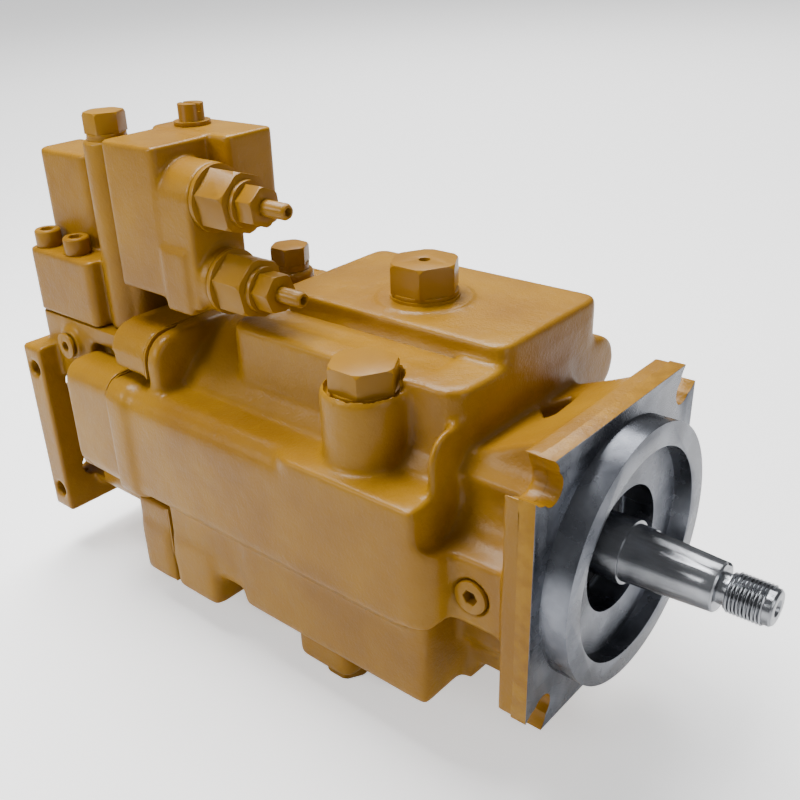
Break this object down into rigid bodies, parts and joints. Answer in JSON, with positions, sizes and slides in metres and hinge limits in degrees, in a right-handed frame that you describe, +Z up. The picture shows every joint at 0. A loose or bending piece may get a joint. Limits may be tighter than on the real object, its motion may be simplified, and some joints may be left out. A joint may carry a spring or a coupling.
{
  "type": "axial piston pump",
  "caption": "Variable displacement axial piston pump with tapered keyed shaft, square pilot flange and a pressure and flow compensator on top.",
  "frame": {"origin": "centre of the pilot in the plane of the flange's mounting face", "axes": "+X along the drive shaft, out of the front flange; +Z up, towards the compensator; +Y to the far side"},
  "size_m": [0.4445, 0.176, 0.2925],
  "materials": {
    "yellow_paint": "construction yellow paint over rough castings",
    "machined_steel": "turned and ground",
    "raw_iron": "machined iron",
    "bronze": "bearing bronze",
    "gasket": "compressed fibre",
    "seal_rubber": "smooth"
  },
  "bodies": {
    "pump": {"main_housing": "yellow_paint", "rear_cover": "yellow_paint", "cover_gasket": "gasket", "cover_bolts": "yellow_paint", "servo_cover": "yellow_paint", "servo_gasket": "gasket", "servo_cover_bolts": "yellow_paint", "bias_cap": "yellow_paint", "deck_plug": "yellow_paint", "boss_plug": "yellow_paint", "neck_plug": "yellow_paint", "top_rear_plug": "yellow_paint", "drain_plug": "yellow_paint", "foot_plug": "yellow_paint", "plug_seals": "gasket", "shaft_seal": "seal_rubber", "seal_ring": "machined_steel", "front_bearing_cup": "machined_steel", "rear_bearing_cup": "machined_steel", "port_plate": "bronze", "port_plate_pin": "machined_steel", "cradle_bearings": "bronze", "bias_spring": "machined_steel", "bias_spring_seat": "machined_steel", "valve_body": "yellow_paint", "valve_gasket": "gasket", "valve_screws": "yellow_paint", "valve_top_plug": "yellow_paint", "valve_clamp_bolts": "yellow_paint", "pressure_cap": "yellow_paint", "flow_cap": "yellow_paint", "pressure_spring": "machined_steel", "flow_spring": "machined_steel", "adjuster_locknuts": "yellow_paint", "spool_end_plugs": "yellow_paint"},
    "rotor": {"drive_shaft": "machined_steel", "cylinder_barrel": "raw_iron", "barrel_spring": "machined_steel", "spring_seats": "machined_steel", "ball_guide": "raw_iron", "front_bearing_cone": "machined_steel", "front_rollers": "machined_steel", "rear_rollers": "machined_steel"},
    "piston_pack": {"pistons": "machined_steel", "slippers": "bronze", "retainer_plate": "machined_steel"},
    "swash": {"swash_plate": "raw_iron", "wear_plate": "bronze"},
    "control_piston": {"control_piston": "machined_steel"},
    "bias_piston": {"bias_piston": "machined_steel"},
    "pressure_spool": {"pressure_spool": "machined_steel"},
    "flow_spool": {"flow_spool": "machined_steel"},
    "pressure_seat": {"pressure_spring_seat": "machined_steel"},
    "flow_seat": {"flow_spring_seat": "machined_steel"},
    "pressure_screw": {"pressure_screw": "yellow_paint"},
    "flow_screw": {"flow_screw": "yellow_paint"}
  },
  "joints": [
    {"name": "shaft_spin", "type": "hinge", "parent": "pump", "child": "rotor", "pos_m": [0, 0, 0], "axis": [1, 0, 0], "continuous": true},
    {"name": "swash_tilt", "type": "hinge", "parent": "pump", "child": "swash", "pos_m": [-0.118, 0, 0], "axis": [0, 0, -1], "range_deg": [0, 16]},
    {"name": "piston_stroke", "type": "slide", "parent": "rotor", "child": "piston_pack", "axis": [-1, 0, 0], "range_m": [0, 0.0152]},
    {"name": "control_slide", "type": "slide", "parent": "pump", "child": "control_piston", "axis": [-1, 0, 0], "range_m": [0, 0.0191]},
    {"name": "bias_slide", "type": "slide", "parent": "pump", "child": "bias_piston", "axis": [1, 0, 0], "range_m": [0, 0.0199], "deforming": ["bias_spring"]},
    {"name": "pressure_spool_slide", "type": "slide", "parent": "pump", "child": "pressure_spool", "axis": [1, 0, 0], "range_m": [-0.0025, 0.0025], "stiffness_N_per_m": 4000, "deforming": ["pressure_spring"]},
    {"name": "flow_spool_slide", "type": "slide", "parent": "pump", "child": "flow_spool", "axis": [1, 0, 0], "range_m": [-0.0025, 0.0025], "stiffness_N_per_m": 2000, "deforming": ["flow_spring"]},
    {"name": "pressure_seat_slide", "type": "slide", "parent": "pump", "child": "pressure_seat", "axis": [-1, 0, 0], "range_m": [0, 0.003]},
    {"name": "pressure_adjust", "type": "hinge", "parent": "pressure_seat", "child": "pressure_screw", "pos_m": [-0.16, -0.042, 0.143], "axis": [-1, 0, 0], "range_deg": [0, 865]},
    {"name": "flow_seat_slide", "type": "slide", "parent": "pump", "child": "flow_seat", "axis": [-1, 0, 0], "range_m": [0, 0.003]},
    {"name": "flow_adjust", "type": "hinge", "parent": "flow_seat", "child": "flow_screw", "pos_m": [-0.155, -0.042, 0.101], "axis": [-1, 0, 0], "range_deg": [0, 865]}
  ],
  "couplings": [
    {"joint": "piston_stroke", "follows": "swash_tilt", "m_per_rad": 0.054},
    {"joint": "control_slide", "follows": "swash_tilt", "m_per_rad": 0.068},
    {"joint": "bias_slide", "follows": "swash_tilt", "m_per_rad": 0.071},
    {"joint": "pressure_adjust", "follows": "pressure_seat_slide", "rad_per_m": 5026.5},
    {"joint": "flow_adjust", "follows": "flow_seat_slide", "rad_per_m": 5026.5}
  ]
}
